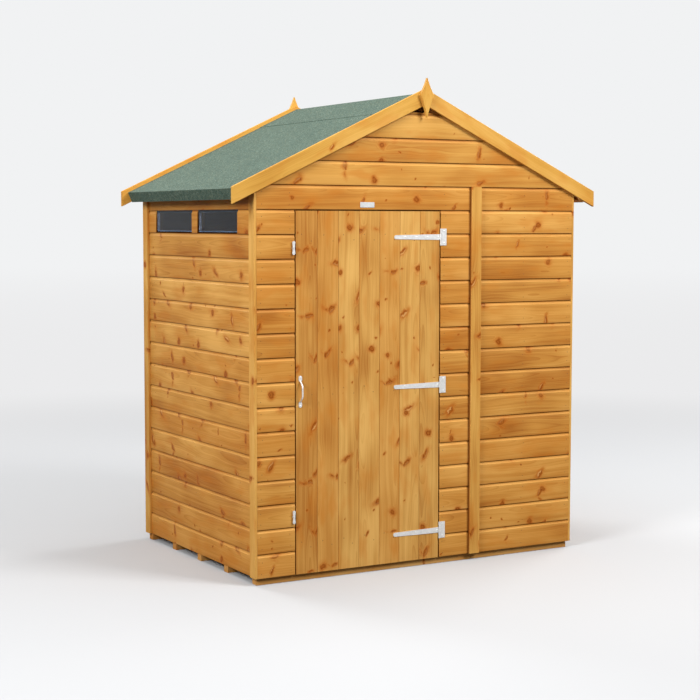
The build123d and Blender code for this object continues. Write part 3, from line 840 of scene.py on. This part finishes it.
def bead_grey(name):
    """Glazing beads in painted shade, dark along their beds, and painted highlight, pale on the lower lip."""
    g = Graph(name)
    cloud = g.noise(g.place(), scale=50.0, detail=3)
    bead_shading = g.math("MULTIPLY_ADD", g.math("SUBTRACT", cloud, 0.5), 0.15, g.attribute("dip_and_painted_shading", "Fac"))
    # Pale blue-white for the painted highlight, dark grey for the painted shade.
    colour = g.ramp(bead_shading, ((0.0, srgb(226, 230, 240)), (0.5, srgb(214, 194, 186)), (1.0, srgb(60, 60, 64))))
    return g.finish(Base_Color=colour, Roughness=0.45, Normal=g.bump(cloud, 0.0002, 0.2))


def white_plate(name):
    """Satin white lacquer, a little uneven."""
    g = Graph(name)
    cloud = g.noise(g.place(), scale=60.0, detail=3)
    colour = g.ramp(cloud, ((0.3, srgb(204, 206, 206)), (0.7, srgb(222, 224, 224))))
    return g.finish(Base_Color=colour, Roughness=0.35, Normal=g.bump(cloud, 0.0002, 0.2))


# Nails, plate and metal


def nail_heads(name, places, radius, material, body):
    """Slightly domed heads at (point, normal)."""
    bm = bmesh.new()
    for point, normal in places:
        turn = Vector((0, 0, 1)).rotation_difference(Vector(normal)).to_matrix().to_4x4()
        lift = Matrix.Translation(Vector(point) + Vector(normal) * (NAIL_HEIGHT / 2 - NAIL_SUNK))
        bmesh.ops.create_cone(bm, segments=10, radius1=radius, radius2=radius * 0.7, depth=NAIL_HEIGHT,
                              cap_ends=True, matrix=lift @ turn)
    mesh = bpy.data.meshes.new(name)
    bm.to_mesh(mesh)
    bm.free()
    add_piece(name, mesh, material, "galvanised_steel", body)


def stud_nails(pick, middle, top, side, normal):
    """Two nails to a course, up a stud."""
    places = []
    low = FOOT
    while low < top - LEAST_COURSE:
        for share in COURSE_NAILS:
            along = middle + pick.uniform(-COURSE_SCATTER, COURSE_SCATTER)
            up = share * COURSE + pick.uniform(-COURSE_SCATTER, COURSE_SCATTER)
            places.append((side(low)(along, up, 0.0), normal))
        low += COURSE
    return places


def wall_nails(pick):
    """Nails over every stud but those behind the front's cover strip."""
    places = []
    strip_low, strip_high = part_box("joint_strips")
    for low, high in island_boxes("front_studs"):
        middle = (low.x + high.x) / 2
        if not strip_low.x < middle < strip_high.x:
            places += stud_nails(pick, middle, WALL_TOP, on_front, (0, -1, 0))
    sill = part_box("left_cladding")[1].z
    for low, high in island_boxes("left_studs"):
        places += stud_nails(pick, (low.y + high.y) / 2, sill, on_left, (-1, 0, 0))
    for low, high in island_boxes("right_studs"):
        places += stud_nails(pick, (low.y + high.y) / 2, WALL_TOP, on_right, (1, 0, 0))
    for low, high in island_boxes("back_studs"):
        places += stud_nails(pick, (low.x + high.x) / 2, WALL_TOP, on_back, (0, 1, 0))
    return places


def door_nails(pick):
    """Two nails to a board, at each ledge."""
    places = []
    low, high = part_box("door_boards")
    width = (high.x - low.x) / DOOR_BOARDS
    for ledge_low, ledge_high in island_boxes("door_ledges"):
        middle = (ledge_low.z + ledge_high.z) / 2
        for i in range(DOOR_BOARDS):
            for share, rise in DOOR_NAILS:
                x = low.x + (i + share) * width + pick.uniform(-DOOR_SCATTER_X, DOOR_SCATTER_X)
                z = middle + rise + pick.uniform(-DOOR_SCATTER_Z, DOOR_SCATTER_Z)
                places.append(((x, low.y, z), (0, -1, 0)))
    return places


def build_nails(material):
    pick = random.Random(7)
    nail_heads("cladding_nails", wall_nails(pick), NAIL, material, "root")
    nail_heads("door_nails", door_nails(pick), DOOR_NAIL, material, "door")


def build_plate(material):
    """A bare plate over the door, with round corners and an eased front edge."""
    middle = FRONT - PLATE_THICKNESS / 2
    size = Matrix.Diagonal((PLATE_WIDTH, PLATE_THICKNESS, PLATE_HEIGHT, 1))
    bm = bmesh.new()
    bmesh.ops.create_cube(bm, size=1.0, matrix=Matrix.Translation((PLATE_X, middle, PLATE_Z)) @ size)
    corners = [e for e in bm.edges if abs(e.verts[0].co.y - e.verts[1].co.y) > PLATE_THICKNESS / 2]
    bmesh.ops.bevel(bm, geom=corners, offset=PLATE_CORNER, segments=3, affect="EDGES")
    rim = [e for e in bm.edges if all(v.co.y < middle for v in e.verts)]
    bmesh.ops.bevel(bm, geom=rim, offset=PLATE_EDGE, segments=2, affect="EDGES")
    mesh = bpy.data.meshes.new("bare_plate")
    bm.to_mesh(mesh)
    bm.free()
    add_piece("bare_plate", mesh, material, "galvanised_steel", "root")


def paint(material, *nodes):
    """Finishes nodes that keep their own shape."""
    for node in nodes:
        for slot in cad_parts[node].material_slots:
            slot.material = material


# Studio

BACKDROP_LOW = srgb(235, 235, 236)       # where the floor passes into the backdrop
BACKDROP_HIGH = srgb(241, 242, 243)
FLOOR_RADIUS = 60
FLOOR_ENDS = (2.0, 8.0)                  # distances over which the floor passes into the backdrop
BACKDROP_ENDS = (8.0, 55.0)              # and the backdrop's low colour passes into its high one
FLOOR_SEEN = 0.55                        # paleness of the floor to the camera
FLOOR_TINT = (0.985, 1.0, 1.02)
FLOOR_BOUNCE = 0.09                      # its paleness in the light that it sends up to the shed
FILL = 0.20                              # light from all round
MIDDLE_HEIGHT = 1.1
LAMPS = (                                # name, place, width and level
    ("overhead", (0.0, -0.8, 5.6), 5.0, 0.71),
    ("key", (3.4, -6.0, 6.0), 3.0, 0.75),
    ("left", (-6.4, -2.8, 4.3), 2.5, 0.65),
    ("rear", (-2.0, 6.0, 5.5), 3.0, 0.5),
    ("right", (6.0, 1.5, 4.5), 3.0, 0.48),
)


def build_world():
    """The backdrop to the camera, and a plain fill light to everything else."""
    world = bpy.data.worlds.new("studio")
    bpy.context.scene.world = world
    world.use_nodes = True
    tree = world.node_tree
    tree.nodes.clear()
    seen = tree.nodes.new("ShaderNodeBackground")
    seen.inputs[0].default_value = BACKDROP_HIGH
    fill = tree.nodes.new("ShaderNodeBackground")
    fill.inputs[0].default_value = (1.0, 1.0, 1.0, 1.0)
    fill.inputs[1].default_value = FILL
    mixed = tree.nodes.new("ShaderNodeMixShader")
    tree.links.new(camera_rays(tree), mixed.inputs[0])
    tree.links.new(fill.outputs[0], mixed.inputs[1])
    tree.links.new(seen.outputs[0], mixed.inputs[2])
    output = tree.nodes.new("ShaderNodeOutputWorld")
    tree.links.new(mixed.outputs[0], output.inputs[0])


def camera_rays(tree):
    """1 where the camera looks, straight or through metal and glass."""
    path = tree.nodes.new("ShaderNodeLightPath")
    total = path.outputs["Is Camera Ray"]
    for name in ("Is Glossy Ray", "Is Transmission Ray"):
        add = tree.nodes.new("ShaderNodeMath")
        add.operation = "ADD"
        add.use_clamp = True
        tree.links.new(total, add.inputs[0])
        tree.links.new(path.outputs[name], add.inputs[1])
        total = add.outputs[0]
    return total


def build_ground():
    """A pale floor that passes into the backdrop far from the shed."""
    bm = bmesh.new()
    bmesh.ops.create_circle(bm, cap_ends=True, radius=FLOOR_RADIUS, segments=96)
    mesh = bpy.data.meshes.new("studio_floor")
    bm.to_mesh(mesh)
    bm.free()
    g = Graph("studio_floor")
    seen = camera_rays(g.tree)
    far = g.node("VectorMath", {0: g.place()}, operation="LENGTH").outputs["Value"]
    grey = g.math("ADD", FLOOR_BOUNCE, g.math("MULTIPLY", seen, FLOOR_SEEN - FLOOR_BOUNCE))
    floor = g.node("BsdfDiffuse", {"Color": g.scaled(g.vector(grey, grey, grey), *FLOOR_TINT)})
    glow = g.node("Emission", {"Color": g.mix(g.step(far, *BACKDROP_ENDS), BACKDROP_LOW, BACKDROP_HIGH)})
    fade = g.math("MULTIPLY", g.step(far, *FLOOR_ENDS), seen)
    mixed = g.node("MixShader", {0: fade, 1: floor.outputs[0], 2: glow.outputs[0]})
    g.node("OutputMaterial", {"Surface": mixed.outputs[0]})
    mesh.materials.append(g.material)
    floor = bpy.data.objects.new("studio_floor", mesh)
    bpy.context.collection.objects.link(floor)


def lamp(name, place, width, level):
    """A soft square lamp, turned to the shed's middle.

    A level of 1 is what makes a white surface there, facing the lamp, render as white.
    """
    place = Vector(place)
    ray = Vector((0.0, 0.0, MIDDLE_HEIGHT)) - place
    data = bpy.data.lights.new(name, "AREA")
    data.size = width
    data.energy = level * math.pi ** 2 * ray.length_squared
    made = bpy.data.objects.new(name, data)
    made.rotation_mode = "QUATERNION"
    made.rotation_quaternion = ray.to_track_quat("-Z", "Y")
    made.location = place
    bpy.context.collection.objects.link(made)


def build_camera():
    yaw, pitch = math.radians(CAMERA_YAW), math.radians(CAMERA_PITCH)
    ahead = Vector((math.sin(yaw) * math.cos(pitch), math.cos(yaw) * math.cos(pitch), -math.sin(pitch)))
    data = bpy.data.cameras.new("camera")
    data.sensor_width = CAMERA_SENSOR
    data.lens = CAMERA_LENS
    camera = bpy.data.objects.new("camera", data)
    turn = ahead.to_track_quat("-Z", "Y").to_matrix().to_4x4()
    roll = Matrix.Rotation(math.radians(CAMERA_ROLL), 4, "Z")
    camera.matrix_world = Matrix.Translation(CAMERA_PLACE) @ turn @ roll
    bpy.context.collection.objects.link(camera)
    bpy.context.scene.camera = camera


def build_studio():
    build_world()
    build_ground()
    for name, place, width, level in LAMPS:
        lamp(name, place, width, level)
    build_camera()
    bpy.context.scene.view_settings.view_transform = "Standard"


def build_shed():
    """Every piece, in its finish. Each pine has a pale, a honey and a deep screen colour."""
    cladding = pine("cladding_pine", (233, 176, 94), (208, 147, 68), (170, 102, 38))
    doorwood = pine("door_pine", (234, 184, 104), (210, 156, 80), (174, 110, 46), contrast=1.1)
    trim = pine("trim_pine", (237, 186, 102), (216, 162, 80), (182, 118, 50), knotty=0.7)
    edge = pine("edge_pine", (234, 184, 98), (217, 165, 76), (188, 130, 50), knotty=0.2, contrast=0.8)
    frames = pine("frame_pine", (226, 178, 108), (206, 150, 82), (172, 112, 54), knotty=0.8, roughness=0.62)
    floor = pine("floor_pine", (228, 184, 120), (208, 158, 94), (176, 122, 64), knotty=0.9, roughness=0.6)
    build_cladding(cladding, trim)
    build_frames(frames)
    build_beads(bead_grey("bead_grey"))
    build_trims(trim, edge)
    build_door(doorwood, frames)
    build_floor(floor, frames)
    build_roof_boards(frames)
    paint(felt("roof_felt"), "roof_felt_left", "roof_felt_right", "felt_ridge_cap")
    steel = zinc("galvanised_steel")
    paint(steel, "door_handle", "hinge_arms", "hinge_plates", "upper_turn_button", "lower_turn_button",
          "button_pivots")
    paint(glass("glazing"), "window_panes")
    build_nails(dark_steel("nail_steel"))
    build_plate(white_plate("plate_white"))


build_studio()
build_shed()
